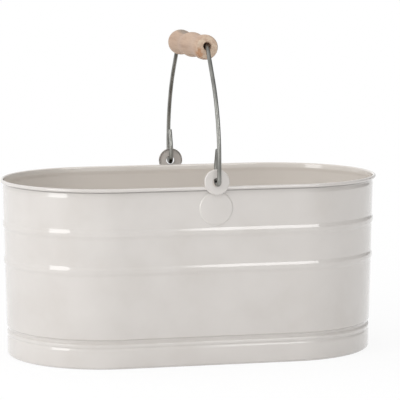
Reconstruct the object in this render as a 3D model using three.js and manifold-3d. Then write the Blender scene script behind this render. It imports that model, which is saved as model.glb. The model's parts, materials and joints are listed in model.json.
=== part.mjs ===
// Oval steel utility bucket with two pressed ears, a wire bail and a turned wooden grip.
// Millimetres, +Z up. The origin is at the middle of the plane that the foot stands on.
// X runs along the oval, Y runs across it, from one ear to the other.

import * as THREE from 'three';
import { mergeVertices } from 'three/addons/utils/BufferGeometryUtils.js';
import Module from 'manifold-3d';

const wasm = await Module();
wasm.setup();

// Tub, sizes over the rim curl
const tubLength = 360;
const tubWidth = 195;
const tubHeight = 166;
const sheet = 0.7;
const wallTaper = THREE.MathUtils.degToRad(1.1);
const endColumns = 16;

// Rim curl, rolled outwards and left open against the wall
const curlRadius = 1.6;
const curlStart = THREE.MathUtils.degToRad(180);
const curlEnd = THREE.MathUtils.degToRad(-90);

// Two beads that stand proud round the wall, measured down from the rim
const beadDrops = [76, 42];
const beadReach = 1.3;
const beadHalfHeight = 5;
const beadCrest = 0.8;

// Groove, floor band, crease and foot skirt below the beads
const grooveHeight = 25.2;
const grooveHalfHeight = 1.1;
const grooveDepth = 2.2;
const grooveRise = 2;
const bandHeight = 21.4;
const bandDepth = 0.4;
const creaseHeight = 19.3;
const creaseDepth = 1.3;
const shoulderHeight = 16.4;
const shoulderDepth = 0.3;
const footRound = 2.8;
const footFlange = 2.6;

// Floor pan, held by its edge in the band
const floorDrop = 2;
const floorBorder = 8;
const floorSlope = 4;

// Ears
const earOffset = 3.2;
const earSheet = 1.2;
const padRadius = 15.8;
const padDrop = 24.4;
const cupRadius = 11.75;
const cupDepth = 2.8;
const holeRadius = 4;

// Bail wire
const wireRadius = 1.9;
const legReach = 7.4;
const legStraight = 20.6;
const legBow = 120;
const legLean = THREE.MathUtils.degToRad(37.5);
const earBend = 5;
const gripBend = 10;
const tailBend = 4;
const tailStraight = 14.5;
const tailBow = 12;
const tailLean = THREE.MathUtils.degToRad(20);
const tailHeight = 32;

// Wooden grip, which hangs a little below the wire that it is bored for
const gripRise = 122.9;
const gripHang = 1.7;
const gripCover = 4.2;
const bumpRadius = 12;
const waistRadius = 9.4;
const bumpPitch = 50;
const gripEndRadius = 8.6;
const boreRadius = 2.3;
const mouthRadius = 3.7;
const mouthDepth = 6;

// Clearances
const gap = 0.3;
const rimClearance = 0.5;
const tailClearance = 0.4;

// Round stretches
const quarter = Math.PI / 2;
const fullTurn = Math.PI * 2;
const easeSteps = 3;
const footSteps = 3;
const curlSteps = 9;
const bendSteps = 6;
const bowSteps = 8;
const tailBowSteps = 2;
const wireSides = 12;
const discSegments = 36;
const gripSegments = 26;
const bumpSteps = 5;
const gripEndSteps = 3;
const weldDistance = 1e-4;

const straightHalf = (tubLength - tubWidth) / 2;
const curlReach = 2 * curlRadius - sheet;
const rimFace = tubWidth / 2 - curlReach;

// Radius of the wall's outer face on the straight taper line
function face(z) {
  return rimFace - (tubHeight - z) * Math.tan(wallTaper);
}

// Middle line of a bent sheet, in radius and height
class SheetLine {
  constructor(r, z) {
    this.points = [new THREE.Vector2(r, z)];
  }

  line(r, z) {
    this.points.push(new THREE.Vector2(r, z));
    return this;
  }

  // An S-shaped step that leaves and arrives along the wall
  ease(r, z) {
    const from = this.points[this.points.length - 1];
    for (let k = 1; k <= easeSteps; k += 1) {
      const t = k / easeSteps;
      const radius = THREE.MathUtils.lerp(from.x, r, THREE.MathUtils.smoothstep(t, 0, 1));
      this.line(radius, THREE.MathUtils.lerp(from.y, z, t));
    }
    return this;
  }

  arc(centreR, centreZ, radius, start, end, steps) {
    for (let k = 0; k <= steps; k += 1) {
      const angle = THREE.MathUtils.lerp(start, end, k / steps);
      this.line(centreR + radius * Math.cos(angle), centreZ + radius * Math.sin(angle));
    }
    return this;
  }

  // Outline of the sheet: its right face on the way out, its left face on the way back
  section(thickness) {
    const last = this.points.length - 1;
    const right = [];
    const left = [];
    this.points.forEach((point, k) => {
      const before = this.points[Math.max(k - 1, 0)];
      const after = this.points[Math.min(k + 1, last)];
      const along = after.clone().sub(before).normalize();
      const across = new THREE.Vector2(along.y, -along.x).multiplyScalar(thickness / 2);
      right.push(point.clone().add(across));
      left.unshift(point.clone().sub(across));
    });
    return [...right, ...left];
  }
}

// Sweeps a section round the oval: a half turn about each end, joined by straight sides
function ovalLathe(section) {
  const perEnd = endColumns + 1;
  const geometry = new THREE.LatheGeometry(section, 2 * perEnd);
  const position = geometry.attributes.position;
  for (let column = 0; column <= 2 * perEnd; column += 1) {
    const place = column % (2 * perEnd);
    const secondEnd = place >= perEnd;
    const step = secondEnd ? place - perEnd : place;
    const angle = (secondEnd ? quarter : -quarter) + (step / endColumns) * Math.PI;
    const centre = secondEnd ? -straightHalf : straightHalf;
    section.forEach((point, k) => {
      position.setXYZ(
        column * section.length + k,
        centre + point.x * Math.cos(angle),
        point.x * Math.sin(angle),
        point.y,
      );
    });
  }
  return weld(geometry);
}

// Leaves only positions, joins equal ones and drops the triangles that close up to a line
function weld(geometry) {
  geometry.deleteAttribute('normal');
  geometry.deleteAttribute('uv');
  const joined = mergeVertices(geometry, weldDistance);
  const index = joined.index.array;
  const kept = [];
  for (let k = 0; k < index.length; k += 3) {
    const [a, b, c] = index.slice(k, k + 3);
    if (a !== b && b !== c && c !== a) kept.push(a, b, c);
  }
  joined.setIndex(kept);
  return joined;
}

function toManifold(geometry) {
  const joined = weld(geometry);
  return new wasm.Manifold(new wasm.Mesh({
    numProp: 3,
    vertProperties: new Float32Array(joined.attributes.position.array),
    triVerts: new Uint32Array(joined.index.array),
  }));
}

function fromManifold(manifold) {
  const mesh = manifold.getMesh();
  const geometry = new THREE.BufferGeometry();
  geometry.setAttribute('position', new THREE.BufferAttribute(mesh.vertProperties, mesh.numProp));
  geometry.setIndex(new THREE.BufferAttribute(mesh.triVerts, 1));
  return geometry;
}

function piece(name, geometry, material) {
  geometry.computeVertexNormals();
  const mesh = new THREE.Mesh(geometry, material);
  mesh.name = name;
  return mesh;
}

function paint() {
  return new THREE.MeshStandardMaterial({ color: 0xd8d3cc, roughness: 0.28, metalness: 0 });
}

function zinc() {
  return new THREE.MeshStandardMaterial({ color: 0x8f8f8a, roughness: 0.42, metalness: 1 });
}

function wood() {
  return new THREE.MeshStandardMaterial({ color: 0xcdb193, roughness: 0.62, metalness: 0 });
}

// The wall is one sheet, from the flange under the foot up to the end of the rim curl
function tubWall() {
  const half = sheet / 2;
  const middle = (z, proud = 0) => face(z) + proud - half;
  const grooveLow = grooveHeight - grooveHalfHeight;
  const grooveHigh = grooveHeight + grooveHalfHeight;
  const footCentre = face(0) - footRound;
  const curlLine = curlRadius - half;
  const line = new SheetLine(footCentre - footFlange, half)
    .arc(footCentre, footRound, footRound - half, -quarter, 0, footSteps)
    .line(middle(shoulderHeight, -shoulderDepth), shoulderHeight)
    .ease(middle(creaseHeight, -creaseDepth), creaseHeight)
    .ease(middle(bandHeight - sheet, -bandDepth), bandHeight - sheet)
    .line(middle(bandHeight + sheet, -bandDepth), bandHeight + sheet)
    .ease(middle(grooveLow, -grooveDepth), grooveLow)
    .line(middle(grooveHigh, -grooveDepth), grooveHigh)
    .ease(middle(grooveHigh + grooveRise), grooveHigh + grooveRise);
  beadDrops.forEach((drop) => {
    const height = tubHeight - drop;
    line
      .line(middle(height - beadHalfHeight), height - beadHalfHeight)
      .ease(middle(height - beadCrest, beadReach), height - beadCrest)
      .line(middle(height + beadCrest, beadReach), height + beadCrest)
      .ease(middle(height + beadHalfHeight), height + beadHalfHeight);
  });
  line.arc(
    rimFace - half + curlLine,
    tubHeight - curlRadius,
    curlLine,
    curlStart,
    curlEnd,
    curlSteps,
  );
  const section = line.section(sheet);
  section.push(section[0].clone());
  return piece('tub_wall', ovalLathe(section), paint());
}

// The floor is a pressed oval pan whose edge lies in the band, between groove and crease
function floorPan() {
  const edge = face(bandHeight) - bandDepth - sheet - gap;
  const low = bandHeight - floorDrop;
  const line = new SheetLine(0, low)
    .line(edge - floorBorder - floorSlope, low)
    .line(edge - floorBorder, bandHeight)
    .line(edge, bandHeight);
  return piece('floor_pan', ovalLathe(line.section(sheet)), paint());
}

const hingeHeight = tubHeight + rimClearance + wireRadius;
const holeHeight = hingeHeight - wireRadius - gap + holeRadius;
const cupInner = curlReach + gap;
const cupOuter = cupInner + earSheet;
const cupEdge = cupOuter - cupDepth;

function discSolid(radius, centreY, from, to, openRadius = 0) {
  const outline = new THREE.Shape().absarc(0, centreY, radius, 0, fullTurn);
  if (openRadius > 0) {
    outline.holes.push(new THREE.Path().absarc(0, centreY, openRadius, 0, fullTurn));
  }
  const options = { depth: to - from, bevelEnabled: false, curveSegments: discSegments / 2 };
  return toManifold(new THREE.ExtrudeGeometry(outline, options).translate(0, 0, from));
}

function boxSolid(width, lowY, highY, lowZ, highZ) {
  const box = new THREE.BoxGeometry(width, highY - lowY, highZ - lowZ);
  return toManifold(box.translate(0, (lowY + highY) / 2, (lowZ + highZ) / 2));
}

// An ear in its own frame: x along the tub, y up the wall, z out of the wall, origin at the hole.
// The pad lies on the wall; the cup stands clear of the curl, with its edge turned to the tub.
function earGeometry() {
  const pad = discSolid(padRadius, -padDrop, gap, gap + earSheet);
  const plate = discSolid(cupRadius, 0, cupInner, cupOuter, holeRadius);
  const skirt = discSolid(cupRadius, 0, gap, cupOuter, cupRadius - earSheet);
  const slotTop = tubHeight + gap - holeHeight;
  const slotBottom = slotTop - 2 * (curlRadius + gap);
  const wide = 2 * (cupRadius + gap);
  const curlSlot = boxSolid(wide, slotBottom, slotTop, -cupOuter, cupInner);
  const relief = boxSolid(wide, slotBottom, cupRadius + gap, -cupOuter, cupEdge);
  return fromManifold(plate.add(skirt).subtract(curlSlot).subtract(relief).add(pad));
}

// Holds an ear on one side of the tub; a half turn about the upright puts it on the other
function earOnSide(name, turn) {
  const ear = piece(name, earGeometry(), paint());
  ear.position.set(0, -face(holeHeight), holeHeight);
  ear.rotation.x = quarter + wallTaper;
  const side = new THREE.Group().add(ear);
  side.position.x = earOffset;
  side.rotation.z = turn;
  return side;
}

// A flat curve in the plane across the tub, sampled at stations that lie closer in the bends
class WireLine extends THREE.Curve {
  constructor(y, z, heading) {
    super();
    this.stations = [new THREE.Vector3(0, y, z)];
    this.heading = heading;
  }

  get end() {
    return this.stations[this.stations.length - 1];
  }

  straight(length) {
    const { y, z } = this.end;
    const dy = length * Math.cos(this.heading);
    const dz = length * Math.sin(this.heading);
    this.stations.push(new THREE.Vector3(0, y + dy, z + dz));
    return this;
  }

  bend(radius, turn, steps) {
    const side = Math.sign(turn) * quarter;
    const start = this.heading;
    const centreY = this.end.y + radius * Math.cos(start + side);
    const centreZ = this.end.z + radius * Math.sin(start + side);
    for (let k = 1; k <= steps; k += 1) {
      const angle = start + (turn * k) / steps - side;
      const y = centreY + radius * Math.cos(angle);
      const z = centreZ + radius * Math.sin(angle);
      this.stations.push(new THREE.Vector3(0, y, z));
    }
    this.heading = start + turn;
    return this;
  }

  getUtoTmapping(u) {
    return u;
  }

  getPoint(t, target = new THREE.Vector3()) {
    const place = THREE.MathUtils.clamp(t, 0, 1) * (this.stations.length - 1);
    const low = Math.min(Math.floor(place), this.stations.length - 2);
    return target.lerpVectors(this.stations[low], this.stations[low + 1], place - low);
  }
}

const tailY = face(holeHeight) + cupEdge - tailClearance - wireRadius;
const legY = face(holeHeight) + cupOuter + legReach;
const gripHeight = hingeHeight + gripRise;

// Half of the bail, from the tail's tip on the back side to where the bend in the grip's mouth ends
function halfBail() {
  const leanRise = tailBow * Math.sin(tailLean);
  const leanLength = (tailHeight - tailStraight - leanRise) / Math.cos(tailLean);
  const tipY = tailY + tailBow * (1 - Math.cos(tailLean)) + leanLength * Math.sin(tailLean);
  const line = new WireLine(tipY, hingeHeight + tailHeight, -quarter - tailLean)
    .straight(leanLength)
    .bend(tailBow, tailLean, tailBowSteps)
    .straight(tailStraight - tailBend)
    .bend(tailBend, quarter, bendSteps)
    .straight(legY - earBend - tailY - tailBend)
    .bend(earBend, quarter, bendSteps)
    .straight(legStraight - earBend)
    .bend(legBow, legLean, bowSteps);
  const gripTurn = quarter - legLean;
  const bendRise = gripBend * (1 - Math.cos(gripTurn));
  line
    .straight((gripHeight - bendRise - line.end.z) / Math.cos(legLean))
    .bend(gripBend, gripTurn, bendSteps);
  return line;
}

function bailWire() {
  const line = halfBail();
  const otherHalf = line.stations.map(({ y, z }) => new THREE.Vector3(0, -y, z)).reverse();
  line.stations.push(...otherHalf);
  const section = new THREE.Shape().absarc(0, 0, wireRadius, 0, fullTurn);
  const geometry = new THREE.ExtrudeGeometry(section, {
    steps: line.stations.length - 1,
    curveSegments: wireSides / 2,
    extrudePath: line,
  });
  const wire = piece('bail_wire', weld(geometry), zinc());
  wire.position.x = earOffset;
  return wire;
}

// Solid of revolution about Y, from a profile that starts and ends on the axis
function turnedSolid(profile) {
  return toManifold(new THREE.LatheGeometry(profile, gripSegments));
}

// A turned grip with three swellings. Its bore lies off the middle and opens at both mouths.
function woodenGrip() {
  const halfLength = halfBail().end.y + gripCover;
  const swell = (bumpRadius - waistRadius) / 2;
  const outer = [];
  const steps = bumpSteps * 2;
  for (let k = -steps; k <= steps; k += 1) {
    const y = (k / steps) * bumpPitch;
    const radius = waistRadius + swell + swell * Math.cos((fullTurn * y) / bumpPitch);
    outer.push(new THREE.Vector2(radius, y));
  }
  const roundLength = halfLength - bumpPitch;
  const end = [];
  for (let k = 1; k <= gripEndSteps; k += 1) {
    const angle = (quarter * k) / gripEndSteps;
    const radius = gripEndRadius + (bumpRadius - gripEndRadius) * Math.cos(angle);
    end.push(new THREE.Vector2(radius, bumpPitch + roundLength * Math.sin(angle)));
  }
  end.push(new THREE.Vector2(0, halfLength));
  const mouth = [
    new THREE.Vector2(boreRadius, halfLength - mouthDepth),
    new THREE.Vector2(mouthRadius, halfLength),
    new THREE.Vector2(mouthRadius, halfLength + gap),
    new THREE.Vector2(0, halfLength + gap),
  ];
  const mirrored = (points) => points.map(({ x, y }) => new THREE.Vector2(x, -y)).reverse();
  const body = turnedSolid([...mirrored(end), ...outer, ...end]).translate(0, 0, -gripHang);
  const bore = turnedSolid([...mirrored(mouth), ...mouth]);
  const grip = piece('wooden_grip', fromManifold(body.subtract(bore)), wood());
  grip.position.set(earOffset, 0, gripHeight);
  return grip;
}

const bucket = new THREE.Group();
bucket.add(tubWall());
bucket.add(floorPan());
bucket.add(earOnSide('front_ear', 0));
bucket.add(earOnSide('back_ear', Math.PI));
bucket.add(bailWire());
bucket.add(woodenGrip());

export default bucket;
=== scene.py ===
"""The looks of an oval steel utility bucket, in metres, +Z up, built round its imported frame.

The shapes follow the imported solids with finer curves. The beads, the crease and the pads are
a little lower here and the rim has a slight neck, as the shading in the photo shows them. The
materials are procedural, and the camera is the one that was fitted to the photo.
"""

import json
import math

import bmesh
import bpy
import numpy as np
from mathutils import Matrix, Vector


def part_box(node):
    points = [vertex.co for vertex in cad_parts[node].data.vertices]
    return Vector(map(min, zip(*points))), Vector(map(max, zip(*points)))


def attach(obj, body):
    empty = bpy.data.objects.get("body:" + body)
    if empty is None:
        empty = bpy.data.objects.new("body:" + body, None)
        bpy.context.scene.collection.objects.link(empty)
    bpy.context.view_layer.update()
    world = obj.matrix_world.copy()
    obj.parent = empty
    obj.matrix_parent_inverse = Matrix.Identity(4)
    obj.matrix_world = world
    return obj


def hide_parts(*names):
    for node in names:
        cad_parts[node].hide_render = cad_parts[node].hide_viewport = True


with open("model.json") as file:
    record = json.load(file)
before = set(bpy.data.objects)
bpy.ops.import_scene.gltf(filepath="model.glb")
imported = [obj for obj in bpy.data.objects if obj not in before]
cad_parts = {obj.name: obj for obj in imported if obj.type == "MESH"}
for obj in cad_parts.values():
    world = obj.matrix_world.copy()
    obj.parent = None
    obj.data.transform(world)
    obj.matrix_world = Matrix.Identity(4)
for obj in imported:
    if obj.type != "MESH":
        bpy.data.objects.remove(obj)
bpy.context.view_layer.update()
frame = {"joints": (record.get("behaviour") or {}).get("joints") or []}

QUARTER = math.pi / 2

# Tub wall: its rim and its ends are read from the frame
WALL_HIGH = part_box("tub_wall")[1]
RIM_HEIGHT = WALL_HIGH.z
STRAIGHT_HALF = WALL_HIGH.x - WALL_HIGH.y
SHEET = 0.0007
CURL_RADIUS = 0.0016
CURL_REACH = 2 * CURL_RADIUS - SHEET
CURL_END = math.radians(-106)
RIM_FACE = WALL_HIGH.y - CURL_REACH
TAPER = math.radians(1.1)
NECK_LOW = 0.0088
NECK_HIGH = 0.0045
NECK_DEPTH = 0.0005

# Beads, groove, band, crease and foot of the wall
BEAD_DROPS = (0.076, 0.042)
BEAD_REACH = 0.0010
BEAD_HALF = 0.005
BEAD_CREST = 0.0008
GROOVE_HEIGHT = 0.0252
GROOVE_HALF = 0.0011
GROOVE_DEPTH = 0.0022
GROOVE_RISE = 0.002
BAND_HEIGHT = 0.0214
BAND_DEPTH = 0.0004
CREASE_HEIGHT = 0.0193
CREASE_DEPTH = 0.0009
SHOULDER_HEIGHT = 0.0164
SHOULDER_DEPTH = 0.0003
FOOT_ROUND = 0.0028
FOOT_FLANGE = 0.0026

# Floor pan
EDGE_GAP = 0.0003
FLOOR_DROP = 0.002
FLOOR_BORDER = 0.008
FLOOR_SLOPE = 0.004

# Axes of the joints, read from the frame
JOINTS = {joint["name"]: joint for joint in frame["joints"]}
HINGE = Vector(JOINTS["bail_swing"]["pos_m"])
GRIP_AXIS = Vector(JOINTS["grip_spin"]["pos_m"])

# Ears: a pad on the wall and a cup with the wire's hole, its edge turned back
EAR_SHEET = 0.0012
EAR_ROUND = 0.0004
PAD_RADIUS = 0.0158
PAD_FACE = 0.0009
PAD_FILLET = 0.0003
PAD_SLOPE = 0.0017
PAD_DROP = 0.0244
CUP_RADIUS = 0.01175
CUP_DEPTH = 0.0028
CUP_ROUND = 0.0012
CUP_OUTER = CURL_REACH + EDGE_GAP + EAR_SHEET
HOLE_RADIUS = 0.004
HOLE_RISE = 0.0018
HOLE_HEIGHT = HINGE.z + HOLE_RISE

# Slot in the cup's edge that clears the curl, in height over the hole
SLOT_TOP = RIM_HEIGHT + EDGE_GAP - HOLE_HEIGHT
SLOT_BOTTOM = SLOT_TOP - 2 * (CURL_RADIUS + EDGE_GAP)
SLOT_RAMP = 0.0007

# Bail wire
WIRE_RADIUS = 0.0019
LEG_REACH = 0.00739
LEG_STRAIGHT = 0.0206
LEG_BOW = 0.120
LEG_LEAN = math.radians(37.5)
EAR_BEND = 0.005
GRIP_BEND = 0.010
TAIL_BEND = 0.004
TAIL_STRAIGHT = 0.0145
TAIL_BOW = 0.012
TAIL_LEAN = math.radians(20)
TAIL_HEIGHT = 0.032
TAIL_CLEARANCE = 0.0004
CUT_CHAMFER = 0.0005

# Wooden grip, from its front end to its back end: the swellings aren't quite alike
GRIP_HANG = 0.0017
GRIP_TILT = 0.0004
GRIP_COVER = 0.0042
BUMP_RADII = (0.0116, 0.0117, 0.0120)
BUMP_PITCH = 0.050
WAIST_RADIUS = 0.0094
GRIP_END_RADIUS = 0.0086
END_ROUND = 0.0012
BORE_RADIUS = 0.0023
MOUTH_RADIUS = 0.0037
MOUTH_DEPTH = 0.006
MOUTH_ROUND = 0.0006
MOUTH_SHIFT = 0.0004

# Fineness of the meshes
EASE_STEPS = 10
CURL_STEPS = 24
FOOT_STEPS = 8
END_STEPS = 64
SIDE_STEPS = 6
ROUND_STEPS = 5
DISC_STEPS = 96
WIRE_SIDES = 20
BEND_STEPS = 14
BOW_STEPS = 30
GRIP_SIDES = 96
GRIP_STEPS = 72
END_STATIONS = 12
SHARP_ANGLE = math.radians(38)
SAME_POINT = 1e-7

# Paint: colours, noise scales per metre, and its waves from long to short, each as noise scale,
# noise detail, height and strength
PAINT = (0.665, 0.632, 0.602)
PAINT_LIGHT = (0.685, 0.652, 0.622)
PAINT_DARK = (0.640, 0.605, 0.572)
# Painted light: a lighter, warmer copy of the paint for the inside faces of the tub
LIT_PAINT_INSIDE = (0.745, 0.702, 0.655)
PAINT_ROUGHNESS = (0.06, 0.10)
MOTTLE_SCALE = 26
GLOSS_SCALE = 70
PAINT_WAVES = (
    (11, 1, 0.0012, 0.10),
    (60, 1, 0.00025, 0.35),
    (420, 2, 0.00004, 0.10),
)
COAT_WEIGHT = 0.6
COAT_ROUGHNESS = 0.03

# Painted shadow: a dark line on the wall, just under the curl
CURL_SHADOW = (0.30, 0.28, 0.26)
CURL_SHADOW_SHARE = 0.75
CURL_SHADOW_REACH = 0.0009
CURL_SHADOW_DROP = 0.0004
CURL_SHADOW_HEIGHT = RIM_HEIGHT - 2 * CURL_RADIUS - CURL_SHADOW_DROP

# Dark edge of an ear's cup: where its colour turns dark, behind the edge's face and over the rim
EDGE_DARK = (0.075, 0.068, 0.060)
EDGE_DARK_BEHIND = (0.0002, 0.0005)
EDGE_DARK_OVER = (0.0003, 0.0008)
EDGE_DARK_SHARE = (0.4, 1.0)
EDGE_NOISE_SCALE = 500

# Galvanised wire, and painted shade on the part that works in the ears' holes
ZINC_DARK = (0.19, 0.19, 0.178)
ZINC_LIGHT = (0.31, 0.31, 0.29)
ZINC_ROUGHNESS = (0.33, 0.38)
CLOUD_SCALE = 70
ZINC_GLOSS_SCALE = 90
ZINC_GRAIN_SCALE = 300
ZINC_GRAIN_DEPTH = 0.00004
ZINC_GRAIN_STRENGTH = 0.05
HOLE_SHADE = (0.012, 0.010, 0.008)
HOLE_SHADE_HEIGHT = (0.0022, 0.0052)
HOLE_SHADE_FADE = 0.0012

# Turned wood, with painted shade as a grey patch on its top, and a brown stain
WOOD = (0.500, 0.350, 0.255)
WOOD_DARK = (0.35, 0.22, 0.15)
WOOD_LIGHT = (0.60, 0.45, 0.34)
WOOD_END = (0.66, 0.52, 0.39)
WOOD_ROUGHNESS = (0.5, 0.72)
GRAIN_SCALE = 150
GRAIN_STRETCH = (1, 0.07, 1)
GRAIN_DEPTH = 0.0003
GRAIN_STRENGTH = 0.6
FIBRE_SCALE = 900
FIBRE_STRETCH = (1, 0.05, 1)
FIBRE_SHARE = 0.35
END_GRAIN_SCALE = 320
END_FACING = (0.65, 0.95)
GRIP_TOP_SHADE = (0.26, 0.21, 0.16)
GRIP_TOP_SHADE_AT = (0.0032, 0.030, 0.3016)
GRIP_TOP_SHADE_REACH = (0.0075, 0.034, 0.0040)
STAIN = (0.42, 0.20, 0.09)
STAIN_AT = (-0.0040, -0.0585, 0.2850)
STAIN_REACH = (0.0040, 0.0065, 0.0065)
PATCH_CORE = 0.45
PATCH_SHARE = 0.8

# Camera, found from the outlines of the rim, the beads, the groove and the foot
CAMERA_AZIMUTH = math.radians(-13.235)
CAMERA_ELEVATION = math.radians(7.052)
CAMERA_DISTANCE = 2.2155
CAMERA_TARGET = Vector((0.01033, 0, 0.1419))
CAMERA_LENS = 209.94
SENSOR_WIDTH = 36
CLIP_START = 0.05
CLIP_END = 50

# Ground: round the tub it keeps the shadow, further out it fades into the white surround
GROUND_HALF = 3.0
GROUND_COLOUR = (0.95, 0.95, 0.95)
GROUND_GLOW = 0.85
GLOW_NEAR = 0.30
GLOW_FAR = 0.85

# Surround: its level for the light on the tub by side and by height, and, for reflections,
# how far it falls from white on the right
WORLD_LEFT = 0.42
WORLD_RIGHT = 0.0
WORLD_TOP = 1.1
MIRROR_RIGHT = 0.30
MIRROR_FALL = (0.2, 0.8)

# Lamps: the strips show as highlights only, and the fills light the tub without being mirrored
LAMP_AIM = Vector((0, 0, 0.11))
STRIPS = (
    {"name": "right_strip", "azimuth": 27, "elevation": 26, "distance": 1.6,
     "width": 0.76, "height": 0.72, "radiance": 4.0},
    {"name": "left_strip", "azimuth": -64, "elevation": 20, "distance": 1.3,
     "width": 0.50, "height": 1.00, "radiance": 3.4},
)
FILLS = (
    {"name": "front_fill", "azimuth": -14, "elevation": 30, "distance": 1.8,
     "width": 0.80, "height": 0.60, "radiance": 1.5},
    {"name": "left_fill", "azimuth": -60, "elevation": 20, "distance": 1.3,
     "width": 0.44, "height": 0.86, "radiance": 2.7},
)


def face(z):
    """Radius of the wall's outer face on the straight taper line."""
    return RIM_FACE - (RIM_HEIGHT - z) * math.tan(TAPER)


def middle(z, proud=0.0):
    """Radius of the sheet's middle line where its face stands proud of the taper line."""
    return face(z) + proud - SHEET / 2


def turned(radius, centre, angle):
    """The point at an angle on a circle, in the plane of a section."""
    return centre[0] + radius * math.cos(angle), centre[1] + radius * math.sin(angle)


def eased(t):
    """Share of an S-shaped step at a share of its length."""
    return t * t * (3 - 2 * t)


class SheetLine:
    """Middle line of a bent sheet, in radius and height."""

    def __init__(self, r, z):
        self.points = [(r, z)]

    def line(self, r, z):
        self.points.append((r, z))
        return self

    def ease(self, r, z):
        """An S-shaped step that leaves and arrives along the wall."""
        first_r, first_z = self.points[-1]
        for k in range(1, EASE_STEPS + 1):
            t = k / EASE_STEPS
            self.line(first_r + (r - first_r) * eased(t), first_z + (z - first_z) * t)
        return self

    def ease_level(self, r, z):
        """An S-shaped step that leaves and arrives level."""
        first_r, first_z = self.points[-1]
        for k in range(1, EASE_STEPS + 1):
            t = k / EASE_STEPS
            self.line(first_r + (r - first_r) * t, first_z + (z - first_z) * eased(t))
        return self

    def arc(self, centre, radius, start, end, steps):
        for k in range(steps + 1):
            self.line(*turned(radius, centre, start + (end - start) * k / steps))
        return self

    def section(self, thickness):
        """Outline of the sheet: its right face on the way out, its left face on the way back."""
        points = np.array(self.points)
        steps = np.linalg.norm(np.diff(points, axis=0), axis=1)
        points = points[np.r_[True, steps > SAME_POINT]]
        along = np.gradient(points, axis=0)
        along /= np.linalg.norm(along, axis=1)[:, None]
        across = np.stack([along[:, 1], -along[:, 0]], axis=1) * thickness / 2
        return np.vstack([points + across, (points - across)[::-1]])


def mesh_object(name, vertices, faces):
    mesh = bpy.data.meshes.new(name)
    mesh.from_pydata([tuple(v) for v in vertices], [], [tuple(f) for f in faces])
    mesh.validate()
    piece = bpy.data.objects.new(name, mesh)
    bpy.context.scene.collection.objects.link(piece)
    return piece


def finish_mesh(piece):
    """Joins equal points, turns the faces outwards and shades them smooth between sharp edges."""
    work = bmesh.new()
    work.from_mesh(piece.data)
    bmesh.ops.remove_doubles(work, verts=work.verts, dist=SAME_POINT)
    bmesh.ops.recalc_face_normals(work, faces=work.faces)
    work.to_mesh(piece.data)
    work.free()
    piece.data.shade_smooth()
    piece.data.set_sharp_from_angle(angle=SHARP_ANGLE)


def faces_between(rings, size, rings_close, ring_closes):
    """Faces between neighbouring rings of points, each ring of the same size."""
    faces = []
    for i in range(rings if rings_close else rings - 1):
        here = i * size
        there = (i + 1) % rings * size
        for k in range(size if ring_closes else size - 1):
            m = (k + 1) % size
            faces.append((here + k, there + k, there + m, here + m))
    return faces


def swept_object(name, vertices, size, closed):
    """A piece whose sections of a given size run once round; an open section ends on its axis."""
    faces = faces_between(len(vertices) // size, size, rings_close=True, ring_closes=closed)
    piece = mesh_object(name, vertices, faces)
    finish_mesh(piece)
    return piece


def oval_columns():
    """Centre and angle of each column round the oval: two half turns joined by straights."""
    columns = []
    for side in (1, -1):
        start = -QUARTER * side
        for k in range(END_STEPS + 1):
            columns.append((side * STRAIGHT_HALF, start + math.pi * k / END_STEPS))
        for k in range(1, SIDE_STEPS):
            columns.append((side * STRAIGHT_HALF * (1 - 2 * k / SIDE_STEPS), start + math.pi))
    return columns


def oval_sweep(name, section, closed):
    """Sweeps a section round the oval; an open one starts and ends on the middle line."""
    vertices = []
    for centre, angle in oval_columns():
        for r, z in section:
            vertices.append((centre + r * math.cos(angle), r * math.sin(angle), z))
    return swept_object(name, vertices, len(section), closed)


def make_wall():
    """The wall's sheet, from the hem under the foot up to the end of the curl."""
    foot_centre = (face(0) - FOOT_ROUND, FOOT_ROUND)
    line = SheetLine(foot_centre[0] - FOOT_FLANGE, SHEET / 2)
    line.arc(foot_centre, FOOT_ROUND - SHEET / 2, -QUARTER, 0, FOOT_STEPS)
    line.line(middle(SHOULDER_HEIGHT, -SHOULDER_DEPTH), SHOULDER_HEIGHT)
    line.ease(middle(CREASE_HEIGHT, -CREASE_DEPTH), CREASE_HEIGHT)
    line.ease(middle(BAND_HEIGHT - SHEET, -BAND_DEPTH), BAND_HEIGHT - SHEET)
    line.line(middle(BAND_HEIGHT + SHEET, -BAND_DEPTH), BAND_HEIGHT + SHEET)
    groove_low = GROOVE_HEIGHT - GROOVE_HALF
    groove_high = GROOVE_HEIGHT + GROOVE_HALF
    line.ease(middle(groove_low, -GROOVE_DEPTH), groove_low)
    line.line(middle(groove_high, -GROOVE_DEPTH), groove_high)
    line.ease(middle(groove_high + GROOVE_RISE), groove_high + GROOVE_RISE)
    for drop in BEAD_DROPS:
        height = RIM_HEIGHT - drop
        line.line(middle(height - BEAD_HALF), height - BEAD_HALF)
        line.ease(middle(height - BEAD_CREST, BEAD_REACH), height - BEAD_CREST)
        line.line(middle(height + BEAD_CREST, BEAD_REACH), height + BEAD_CREST)
        line.ease(middle(height + BEAD_HALF), height + BEAD_HALF)
    line.line(middle(RIM_HEIGHT - NECK_LOW), RIM_HEIGHT - NECK_LOW)
    line.ease(middle(RIM_HEIGHT - NECK_HIGH, -NECK_DEPTH), RIM_HEIGHT - NECK_HIGH)
    curl_line = CURL_RADIUS - SHEET / 2
    curl_centre = (RIM_FACE - SHEET / 2 + curl_line, RIM_HEIGHT - CURL_RADIUS)
    line.arc(curl_centre, curl_line, math.pi, CURL_END, CURL_STEPS)
    return oval_sweep("painted_wall", line.section(SHEET), closed=True)


def make_floor():
    """The floor pan: a low middle and a border whose edge lies in the wall's band."""
    edge = face(BAND_HEIGHT) - BAND_DEPTH - SHEET - EDGE_GAP
    low = BAND_HEIGHT - FLOOR_DROP
    line = SheetLine(0, low).line(edge - FLOOR_BORDER - FLOOR_SLOPE, low)
    line.ease_level(edge - FLOOR_BORDER, BAND_HEIGHT).line(edge, BAND_HEIGHT)
    return oval_sweep("painted_floor", line.section(SHEET), closed=False)


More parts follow.
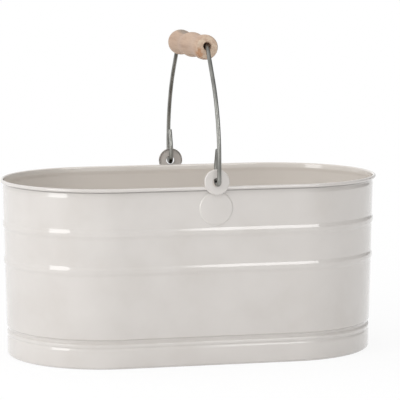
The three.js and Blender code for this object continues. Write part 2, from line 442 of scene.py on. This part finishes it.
def pad_profile():
    """Half section of the pad: flat on the wall, with an edge that the paint rounds into it."""
    foot = PAD_RADIUS + PAD_FILLET
    points = [(0, 0), (foot, 0)]
    for k in range(1, EASE_STEPS + 1):
        t = k / EASE_STEPS
        points.append((foot - PAD_SLOPE * t, PAD_FACE * eased(t)))
    points.append((0, PAD_FACE))
    return points


def cup_profile(depth):
    """Closed half section of the cup: a plate with a hole and an edge turned back by depth."""
    back = CUP_OUTER - EAR_SHEET
    edge = CUP_OUTER - max(depth, EAR_SHEET + EAR_ROUND)
    inner = CUP_RADIUS - EAR_SHEET
    corner = (CUP_RADIUS - CUP_ROUND, CUP_OUTER - CUP_ROUND)
    points = [(HOLE_RADIUS, back + EAR_ROUND), (HOLE_RADIUS, CUP_OUTER - EAR_ROUND)]
    points.append((HOLE_RADIUS + EAR_ROUND, CUP_OUTER))
    for k in range(ROUND_STEPS + 1):
        points.append(turned(CUP_ROUND, corner, QUARTER - QUARTER * k / ROUND_STEPS))
    points += [(CUP_RADIUS, edge + EAR_ROUND), (CUP_RADIUS - EAR_ROUND, edge)]
    points += [(inner + EAR_ROUND, edge), (inner, edge + EAR_ROUND / 2)]
    points += [(inner, back), (HOLE_RADIUS + EAR_ROUND, back)]
    return points


def cup_depth(height):
    """How far the cup's edge turns back, by height: free, cut out at the curl, or to the pad."""
    if height > SLOT_TOP:
        return CUP_DEPTH * min((height - SLOT_TOP) / SLOT_RAMP, 1)
    if height < SLOT_BOTTOM:
        reach = CUP_OUTER - EDGE_GAP - EAR_SHEET / 2
        return reach * min((SLOT_BOTTOM - height) / SLOT_RAMP, 1)
    return 0


def spin(name, sections, closed, centre_y=0.0):
    """Sets half sections evenly round the ear's own z axis."""
    vertices = []
    for i, section in enumerate(sections):
        angle = 2 * math.pi * i / len(sections)
        for r, z in section:
            vertices.append((r * math.cos(angle), centre_y + r * math.sin(angle), z))
    return swept_object(name, vertices, len(sections[0]), closed)


def join(piece, other):
    """Makes one closed mesh of two, and removes the second piece."""
    union = piece.modifiers.new("union", "BOOLEAN")
    union.operation = "UNION"
    union.solver = "EXACT"
    union.object = other
    depsgraph = bpy.context.evaluated_depsgraph_get()
    joined = bpy.data.meshes.new_from_object(piece.evaluated_get(depsgraph))
    piece.modifiers.clear()
    piece.data = joined
    bpy.data.objects.remove(other)


def make_ear(name, side):
    """A pressed ear: a pad on the wall, joined to a cup clear of the curl. side is -1 or 1."""
    pad = spin(name, [pad_profile()] * DISC_STEPS, closed=False, centre_y=-PAD_DROP)
    angles = [2 * math.pi * i / DISC_STEPS for i in range(DISC_STEPS)]
    sections = [cup_profile(cup_depth(CUP_RADIUS * math.sin(angle))) for angle in angles]
    join(pad, spin(name + "_cup", sections, closed=True))
    up_wall = Vector((0, side * math.sin(TAPER), math.cos(TAPER)))
    outward = Vector((0, side * math.cos(TAPER), -math.sin(TAPER)))
    right = up_wall.cross(outward)
    origin = Vector((HINGE.x, side * face(HOLE_HEIGHT), HOLE_HEIGHT))
    for vertex in pad.data.vertices:
        x, y, z = vertex.co
        vertex.co = origin + right * x + up_wall * y + outward * z
    finish_mesh(pad)
    return pad


class WireLine:
    """A line of straights and bends in the plane across the tub, as (y, z) points."""

    def __init__(self, y, z, heading):
        self.points = [np.array((y, z))]
        self.headings = [heading]
        self.heading = heading

    def add(self, point):
        self.points.append(point)
        self.headings.append(self.heading)

    def straight(self, length):
        step = np.array((math.cos(self.heading), math.sin(self.heading)))
        self.add(self.points[-1] + step * length)
        return self

    def bend(self, radius, turn, steps):
        side = math.copysign(QUARTER, turn)
        start = self.heading
        spoke = np.array((math.cos(start + side), math.sin(start + side)))
        centre = self.points[-1] + radius * spoke
        for k in range(1, steps + 1):
            self.heading = start + turn * k / steps
            angle = self.heading - side
            self.add(centre + radius * np.array((math.cos(angle), math.sin(angle))))
        return self


def half_bail():
    """Half of the bail, from the tail's tip on the back side to the mouth of the grip."""
    cup_edge = CUP_OUTER - CUP_DEPTH
    tail_y = face(HOLE_HEIGHT) + cup_edge - TAIL_CLEARANCE - WIRE_RADIUS
    bow_rise = TAIL_BOW * math.sin(TAIL_LEAN)
    bow_reach = TAIL_BOW * (1 - math.cos(TAIL_LEAN))
    lean_length = (TAIL_HEIGHT - TAIL_STRAIGHT - bow_rise) / math.cos(TAIL_LEAN)
    tip_y = tail_y + bow_reach + lean_length * math.sin(TAIL_LEAN)
    line = WireLine(tip_y, HINGE.z + TAIL_HEIGHT, -QUARTER - TAIL_LEAN)
    line.straight(lean_length).bend(TAIL_BOW, TAIL_LEAN, ROUND_STEPS)
    line.straight(TAIL_STRAIGHT - TAIL_BEND).bend(TAIL_BEND, QUARTER, BEND_STEPS)
    leg_y = face(HOLE_HEIGHT) + CUP_OUTER + LEG_REACH
    line.straight(leg_y - EAR_BEND - tail_y - TAIL_BEND)
    line.bend(EAR_BEND, QUARTER, BEND_STEPS)
    line.straight(LEG_STRAIGHT - EAR_BEND).bend(LEG_BOW, LEG_LEAN, BOW_STEPS)
    grip_turn = QUARTER - LEG_LEAN
    bend_rise = GRIP_BEND * (1 - math.cos(grip_turn))
    rise_left = GRIP_AXIS.z - bend_rise - line.points[-1][1]
    line.straight(rise_left / math.cos(LEG_LEAN)).bend(GRIP_BEND, grip_turn, BEND_STEPS)
    return line


def cut_end(ring, inwards):
    """The two rings of a chamfered cut end: the small one of its face and the full one behind."""
    centre, along, radius = ring
    full = (centre + along * CUT_CHAMFER * inwards, along, radius)
    return (centre, along, radius - CUT_CHAMFER), full


def make_bail():
    """The bent wire: one half, its mirror image, and a chamfer at each cut end."""
    line = half_bail()
    points = np.array(line.points)
    headings = np.array(line.headings)
    points = np.vstack([points, (points * (-1, 1))[::-1]])
    headings = np.r_[headings, 2 * math.pi - headings[::-1]]
    rings = []
    for point, heading in zip(points, headings):
        along = np.array((0, math.cos(heading), math.sin(heading)))
        rings.append((np.array((HINGE.x, *point)), along, WIRE_RADIUS))
    first_face, first_ring = cut_end(rings[0], 1)
    last_face, last_ring = cut_end(rings[-1], -1)
    rings = [first_face, first_ring, *rings[1:-1], last_ring, last_face]
    across = np.array((1.0, 0, 0))
    vertices = []
    for centre, along, radius in rings:
        up = np.cross(along, across)
        for k in range(WIRE_SIDES):
            angle = 2 * math.pi * k / WIRE_SIDES
            spoke = across * math.cos(angle) + up * math.sin(angle)
            vertices.append(centre + radius * spoke)
    last = len(vertices) - WIRE_SIDES
    faces = [tuple(range(WIRE_SIDES)), tuple(range(last, len(vertices)))]
    faces += faces_between(len(rings), WIRE_SIDES, rings_close=False, ring_closes=True)
    piece = mesh_object("galvanised_bail", vertices, faces)
    finish_mesh(piece)
    return piece


def bump_radius(y):
    """Radius of a swelling at a place along the grip, blended between its neighbours."""
    front, centre, back = BUMP_RADII
    share = min(abs(y) / BUMP_PITCH, 1)
    end = back if y > 0 else front
    return centre + (end - centre) * share


def grip_radius(y, half):
    """Outer radius at a place along the grip: three swellings and two rounded ends."""
    far = abs(y) - BUMP_PITCH
    top = bump_radius(y)
    if far > 0:
        share = min(far / (half - BUMP_PITCH), 1)
        return GRIP_END_RADIUS + (top - GRIP_END_RADIUS) * math.sqrt(1 - share * share)
    wave = 0.5 + 0.5 * math.cos(2 * math.pi * y / BUMP_PITCH)
    return WAIST_RADIUS + (top - WAIST_RADIUS) * wave


def end_stations(half):
    """Places along one rounded end, closer together towards the face."""
    places = []
    for k in range(1, END_STATIONS + 1):
        angle = QUARTER * k / END_STATIONS
        places.append(BUMP_PITCH + (half - END_ROUND - BUMP_PITCH) * math.sin(angle))
    return places


def grip_profile(half):
    """Radius and place of the grip's closed section, and 1 on its body or 0 in its bore."""
    ends = end_stations(half)
    middle_half = GRIP_STEPS // 2
    inner = [BUMP_PITCH * k / middle_half for k in range(-middle_half, middle_half + 1)]
    stations = [-y for y in ends[::-1]] + inner + ends
    outer = [(grip_radius(y, half), y, 1) for y in stations]
    rim = grip_radius(ends[-1], half)
    end = []
    for k in range(1, ROUND_STEPS + 1):
        angle = QUARTER * k / ROUND_STEPS
        r = rim - END_ROUND * (1 - math.cos(angle))
        end.append((r, half - END_ROUND * (1 - math.sin(angle)), 1))
    end += [
        (MOUTH_RADIUS + MOUTH_ROUND, half, 0),
        (MOUTH_RADIUS, half - MOUTH_ROUND, 0),
        (BORE_RADIUS + MOUTH_ROUND, half - MOUTH_DEPTH, 0),
        (BORE_RADIUS, half - MOUTH_DEPTH - MOUTH_ROUND, 0),
    ]
    return [(r, -y, body) for r, y, body in end[::-1]] + outer + end


def make_grip():
    """The turned grip: its body hangs and tilts on the bore, whose mouths are a little worn."""
    half = half_bail().points[-1][0] + GRIP_COVER
    profile = grip_profile(half)
    vertices = []
    for k in range(GRIP_SIDES):
        angle = 2 * math.pi * k / GRIP_SIDES
        for r, y, body in profile:
            sink = body * (GRIP_HANG + GRIP_TILT * y / half)
            wear = max(0, r - BORE_RADIUS) / (MOUTH_RADIUS - BORE_RADIUS)
            x = r * math.cos(angle) + (1 - body) * MOUTH_SHIFT * wear
            vertices.append((x, y, r * math.sin(angle) - sink))
    vertices = np.array(vertices) + np.array(GRIP_AXIS)
    return swept_object("turned_grip", vertices, len(profile), closed=True)


class Nodes:
    """Short calls for building one node tree."""

    def __init__(self, tree):
        self.tree = tree
        self.place = tree.nodes.new("ShaderNodeTexCoord")

    def new(self, kind, **settings):
        node = self.tree.nodes.new(kind)
        for name, value in settings.items():
            setattr(node, name, value)
        return node

    def feed(self, socket, value):
        """Gives a socket a number, a vector or a colour, or the output of another node."""
        if isinstance(value, bpy.types.NodeSocket):
            self.tree.links.new(value, socket)
        elif socket.type == "RGBA":
            socket.default_value = (*value, 1)
        else:
            socket.default_value = value

    def set(self, node, **values):
        """Feeds a node's inputs by name, with an underscore for each space."""
        for name, value in values.items():
            self.feed(node.inputs[name.replace("_", " ")], value)

    def noise(self, scale, detail=3.0, roughness=0.5, stretch=(1, 1, 1)):
        mapping = self.new("ShaderNodeMapping")
        self.set(mapping, Vector=self.place.outputs["Object"], Scale=stretch)
        noise = self.new("ShaderNodeTexNoise")
        self.set(noise, Vector=mapping.outputs["Vector"], Scale=scale)
        self.set(noise, Detail=detail, Roughness=roughness)
        return noise.outputs["Fac"]

    def split(self, output, axis):
        """One axis of a texture coordinate."""
        node = self.new("ShaderNodeSeparateXYZ")
        self.feed(node.inputs["Vector"], self.place.outputs[output])
        return node.outputs[axis]

    def ramp(self, source, *stops):
        """A colour by the source's value, from stops of a position and a colour."""
        ramp = self.new("ShaderNodeValToRGB")
        elements = ramp.color_ramp.elements
        while len(elements) < len(stops):
            elements.new(0.5)
        for element, (position, colour) in zip(elements, stops):
            element.position = position
            element.color = (*colour, 1)
        self.feed(ramp.inputs["Fac"], source)
        return ramp.outputs["Color"]

    def math(self, operation, *values):
        node = self.new("ShaderNodeMath", operation=operation)
        for socket, value in zip(node.inputs, values):
            self.feed(socket, value)
        return node.outputs["Value"]

    def distance(self, source, level):
        """How far a value is from a level."""
        return self.math("ABSOLUTE", self.math("SUBTRACT", source, level))

    def vector(self, operation, *values):
        """A vector, or the number that a length or a dot product gives."""
        node = self.new("ShaderNodeVectorMath", operation=operation)
        for socket, value in zip(node.inputs, values):
            self.feed(socket, value)
        number = operation in ("LENGTH", "DOT_PRODUCT")
        return node.outputs["Value" if number else "Vector"]

    def inwards(self, straight):
        """1 on faces that look to the middle of an oval with straight sides, 0 on the others."""
        x = self.split("Object", "X")
        nearest = self.math("MAXIMUM", self.math("MINIMUM", x, straight), -straight)
        spoke = self.new("ShaderNodeCombineXYZ")
        self.set(spoke, X=self.math("SUBTRACT", x, nearest), Y=self.split("Object", "Y"))
        normal = self.place.outputs["Normal"]
        facing = self.vector("DOT_PRODUCT", normal, spoke.outputs["Vector"])
        return self.math("LESS_THAN", facing, 0.0)

    def patch(self, centre, radii, ragged):
        """Share of a soft oval patch round a place, with a ragged edge."""
        place = self.vector("SUBTRACT", self.place.outputs["Object"], centre)
        reach = self.vector("LENGTH", self.vector("DIVIDE", place, radii))
        edge = self.math("ADD", reach, self.math("SUBTRACT", ragged, 0.5))
        return self.spread(edge, 1.0, 0.0, PATCH_CORE, 1.0)

    def spread(self, source, low, high, from_low=0.3, from_high=0.7):
        """Turns one range of the source into another; the defaults suit a noise."""
        node = self.new("ShaderNodeMapRange")
        self.set(node, Value=source, From_Min=from_low, From_Max=from_high)
        self.set(node, To_Min=low, To_Max=high)
        return node.outputs["Result"]

    def mix(self, share, first, second):
        """A colour between two others. A mix node's colour sockets are known by number only."""
        node = self.new("ShaderNodeMix", data_type="RGBA")
        for number, value in ((0, share), (6, first), (7, second)):
            self.feed(node.inputs[number], value)
        return node.outputs[2]

    def bump(self, height, distance, strength, below=None):
        node = self.new("ShaderNodeBump")
        self.set(node, Height=height, Distance=distance, Strength=strength)
        if below is not None:
            self.feed(node.inputs["Normal"], below)
        return node.outputs["Normal"]


def new_material(name):
    """A material, the maker of its nodes and its shader."""
    material = bpy.data.materials.new(name)
    material.use_nodes = True
    return material, Nodes(material.node_tree), material.node_tree.nodes["Principled BSDF"]


def paint_colour(n):
    """The paint's own colour, faintly mottled."""
    mottle = n.noise(MOTTLE_SCALE, detail=4)
    return n.ramp(mottle, (0.30, PAINT_DARK), (0.5, PAINT), (0.72, PAINT_LIGHT))


def tub_colour(n):
    """Paint with a painted shadow under the curl, and painted light: lighter, warmer inside the
    tub.
    """
    # Painted shadow under the curl: a dark band in the paint just below it
    off_curl_shadow = n.distance(n.split("Object", "Z"), CURL_SHADOW_HEIGHT)
    curl_shadow = n.spread(off_curl_shadow, CURL_SHADOW_SHARE, 0.0, CURL_SHADOW_REACH / 2, CURL_SHADOW_REACH)
    outside = n.mix(curl_shadow, paint_colour(n), CURL_SHADOW)
    # Painted light: the inside faces take a lighter, warmer copy of the paint
    return n.mix(n.inwards(STRAIGHT_HALF), outside, LIT_PAINT_INSIDE)


def ear_colour(n):
    """Paint that turns dark in patches on the cup's turned edge, over the rim."""
    edge = face(HOLE_HEIGHT) + CUP_OUTER - CUP_DEPTH
    reach = n.math("ABSOLUTE", n.split("Object", "Y"))
    behind = n.spread(reach, 1, 0, *(edge + step for step in EDGE_DARK_BEHIND))
    over = n.spread(n.split("Object", "Z"), 0, 1, *(RIM_HEIGHT + step for step in EDGE_DARK_OVER))
    patchy = n.spread(n.noise(EDGE_NOISE_SCALE, detail=2), *EDGE_DARK_SHARE)
    # The cup's turned edge turns dark here, in patches
    dark_edge = n.math("MULTIPLY", n.math("MULTIPLY", behind, over), patchy)
    return n.mix(dark_edge, paint_colour(n), EDGE_DARK)


def paint_material(name, colour):
    """Thick gloss paint with an uneven surface; colour makes its colour from the nodes."""
    material, n, shader = new_material(name)
    roughness = n.spread(n.noise(GLOSS_SCALE), *PAINT_ROUGHNESS)
    n.set(shader, Base_Color=colour(n), Roughness=roughness)
    n.set(shader, Coat_Weight=COAT_WEIGHT, Coat_Roughness=COAT_ROUGHNESS)
    normal = None
    for scale, detail, height, strength in PAINT_WAVES:
        normal = n.bump(n.noise(scale, detail=detail), height, strength, below=normal)
    n.set(shader, Normal=normal)
    return material


def zinc_material():
    """Dull, cloudy galvanised wire, with painted shade where it works in the ears' holes."""
    material, n, shader = new_material("galvanised_wire")
    zinc = n.ramp(n.noise(CLOUD_SCALE, detail=2), (0.30, ZINC_DARK), (0.70, ZINC_LIGHT))
    # Painted shade: the wire turns nearly black near the hinge, inside the ears' holes
    hole_face = face(HOLE_HEIGHT) + CUP_OUTER
    off_hinge = n.distance(n.split("Object", "Z"), HINGE.z)
    low = n.spread(off_hinge, 1, 0, *HOLE_SHADE_HEIGHT)
    reach = n.math("ABSOLUTE", n.split("Object", "Y"))
    inside = n.spread(reach, 1, 0, hole_face, hole_face + HOLE_SHADE_FADE)
    n.set(shader, Base_Color=n.mix(n.math("MULTIPLY", low, inside), zinc, HOLE_SHADE))
    roughness = n.spread(n.noise(ZINC_GLOSS_SCALE), *ZINC_ROUGHNESS)
    n.set(shader, Metallic=1.0, Roughness=roughness)
    grain = n.noise(ZINC_GRAIN_SCALE, detail=1)
    n.set(shader, Normal=n.bump(grain, ZINC_GRAIN_DEPTH, ZINC_GRAIN_STRENGTH))
    return material


def wood_material():
    """Pale turned wood: long grain along the grip, end grain, painted shade as a grey patch on
    the top, and a brown stain.
    """
    material, n, shader = new_material("turned_wood")
    grain = n.noise(GRAIN_SCALE, detail=6, roughness=0.6, stretch=GRAIN_STRETCH)
    streaks = n.ramp(grain, (0.25, WOOD_DARK), (0.45, WOOD), (0.75, WOOD_LIGHT))
    fibres = n.noise(FIBRE_SCALE, detail=2, stretch=FIBRE_STRETCH)
    long_side = n.mix(n.spread(fibres, 0.0, FIBRE_SHARE, 0.5, 0.75), streaks, WOOD_DARK)
    end_grain = n.noise(END_GRAIN_SCALE, detail=5)
    end_side = n.ramp(end_grain, (0.3, WOOD), (0.65, WOOD_END))
    facing = n.math("ABSOLUTE", n.split("Normal", "Y"))
    colour = n.mix(n.spread(facing, 0, 1, *END_FACING), long_side, end_side)
    # The grey patch is painted shade on the grip's top; the brown stain is the wood's own
    patches = (
        (GRIP_TOP_SHADE, GRIP_TOP_SHADE_AT, GRIP_TOP_SHADE_REACH, grain),
        (STAIN, STAIN_AT, STAIN_REACH, end_grain),
    )
    for patch_colour, place, reach, ragged in patches:
        share = n.math("MULTIPLY", n.patch(place, reach, ragged), PATCH_SHARE)
        colour = n.mix(share, colour, patch_colour)
    n.set(shader, Base_Color=colour, Roughness=n.spread(grain, *WOOD_ROUGHNESS))
    n.set(shader, Normal=n.bump(grain, GRAIN_DEPTH, GRAIN_STRENGTH))
    return material


def dress(piece, node, body, material):
    """Puts a piece in a solid's place, on its body, with its material."""
    piece.data.materials.clear()
    piece.data.materials.append(material)
    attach(piece, body)
    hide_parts(node)


def direction(azimuth, elevation):
    """Unit vector from the tub; azimuth 0 is straight in front and grows towards +X."""
    flat = math.cos(elevation)
    return Vector((math.sin(azimuth) * flat, -math.cos(azimuth) * flat, math.sin(elevation)))


def aim(thing, target, towards, distance):
    """Sets a camera or a lamp at a distance from its target, looking back at it."""
    thing.location = target + towards * distance
    thing.rotation_mode = "QUATERNION"
    thing.rotation_quaternion = (-towards).to_track_quat("-Z", "Y")


def make_camera():
    camera = bpy.data.objects.new("camera", bpy.data.cameras.new("camera"))
    bpy.context.scene.collection.objects.link(camera)
    towards = direction(CAMERA_AZIMUTH, CAMERA_ELEVATION)
    aim(camera, CAMERA_TARGET, towards, CAMERA_DISTANCE)
    camera.data.lens = CAMERA_LENS
    camera.data.sensor_width = SENSOR_WIDTH
    camera.data.clip_start = CLIP_START
    camera.data.clip_end = CLIP_END
    bpy.context.scene.camera = camera


def softbox(name, azimuth, elevation, distance, width, height, radiance, mirrored):
    """A soft lamp that faces the tub: either only reflections see it, or it only gives light."""
    lamp = bpy.data.lights.new(name, "AREA")
    lamp.shape = "RECTANGLE"
    lamp.size = width
    lamp.size_y = height
    lamp.energy = radiance * math.pi * width * height
    holder = bpy.data.objects.new(name, lamp)
    holder.visible_glossy = mirrored
    holder.visible_diffuse = not mirrored
    bpy.context.scene.collection.objects.link(holder)
    towards = direction(math.radians(azimuth), math.radians(elevation))
    aim(holder, LAMP_AIM, towards, distance)


def make_world():
    """White for the camera, lower and plain for the light, darker to the right in reflections."""
    world = bpy.data.worlds.new("studio")
    bpy.context.scene.world = world
    world.use_nodes = True
    n = Nodes(world.node_tree)
    across = n.split("Generated", "X")
    room = n.spread(across, WORLD_LEFT, WORLD_RIGHT, -1.0, 1.0)
    overhead = n.spread(n.split("Generated", "Z"), 0.0, WORLD_TOP, 0.0, 1.0)
    lit = n.math("ADD", room, overhead)
    mirrored = n.spread(across, 1.0, MIRROR_RIGHT, *MIRROR_FALL)
    path = n.new("ShaderNodeLightPath")
    level = n.spread(path.outputs["Is Glossy Ray"], lit, mirrored, 0.0, 1.0)
    seen = n.math("MAXIMUM", path.outputs["Is Camera Ray"], path.outputs["Is Transmission Ray"])
    level = n.spread(seen, level, 1.0, 0.0, 1.0)
    n.set(world.node_tree.nodes["Background"], Color=(1, 1, 1), Strength=level)


def shader_mix(n, share, first, second):
    node = n.new("ShaderNodeMixShader")
    for number, value in enumerate((share, first, second)):
        n.feed(node.inputs[number], value)
    return node.outputs["Shader"]


def make_ground():
    """A pale ground that keeps the tub's shadow, fades to white, and can't be seen from below."""
    corners = [(-1, -1), (1, -1), (1, 1), (-1, 1)]
    vertices = [(x * GROUND_HALF, y * GROUND_HALF, 0) for x, y in corners]
    ground = mesh_object("floor", vertices, [(0, 1, 2, 3)])
    material = bpy.data.materials.new("floor")
    material.use_nodes = True
    material.node_tree.nodes.clear()
    n = Nodes(material.node_tree)
    diffuse = n.new("ShaderNodeBsdfDiffuse")
    n.set(diffuse, Color=GROUND_COLOUR)
    glow = n.new("ShaderNodeEmission")
    n.set(glow, Color=(1, 1, 1))
    reach = n.vector("LENGTH", n.place.outputs["Object"])
    fade = n.spread(reach, GROUND_GLOW, 1.0, GLOW_NEAR, GLOW_FAR)
    path = n.new("ShaderNodeLightPath")
    seen = n.math("MAXIMUM", path.outputs["Is Camera Ray"], path.outputs["Is Glossy Ray"])
    share = n.math("MULTIPLY", seen, fade)
    above = shader_mix(n, share, diffuse.outputs["BSDF"], glow.outputs["Emission"])
    below = n.new("ShaderNodeBsdfTransparent").outputs["BSDF"]
    from_below = n.new("ShaderNodeNewGeometry").outputs["Backfacing"]
    surface = shader_mix(n, from_below, above, below)
    n.feed(n.new("ShaderNodeOutputMaterial").inputs["Surface"], surface)
    ground.data.materials.append(material)


make_camera()
make_world()
make_ground()
for strip in STRIPS:
    softbox(**strip, mirrored=True)
for fill in FILLS:
    softbox(**fill, mirrored=False)

paint = paint_material("tub_gloss_paint", tub_colour)
ear_paint = paint_material("ear_gloss_paint", ear_colour)
dress(make_wall(), "tub_wall", "tub", paint)
dress(make_floor(), "floor_pan", "tub", paint)
dress(make_ear("front_ear_plate", -1), "front_ear", "tub", ear_paint)
dress(make_ear("back_ear_plate", 1), "back_ear", "tub", ear_paint)
dress(make_bail(), "bail_wire", "bail", zinc_material())
dress(make_grip(), "wooden_grip", "grip", wood_material())

bpy.context.scene.view_settings.view_transform = "Standard"
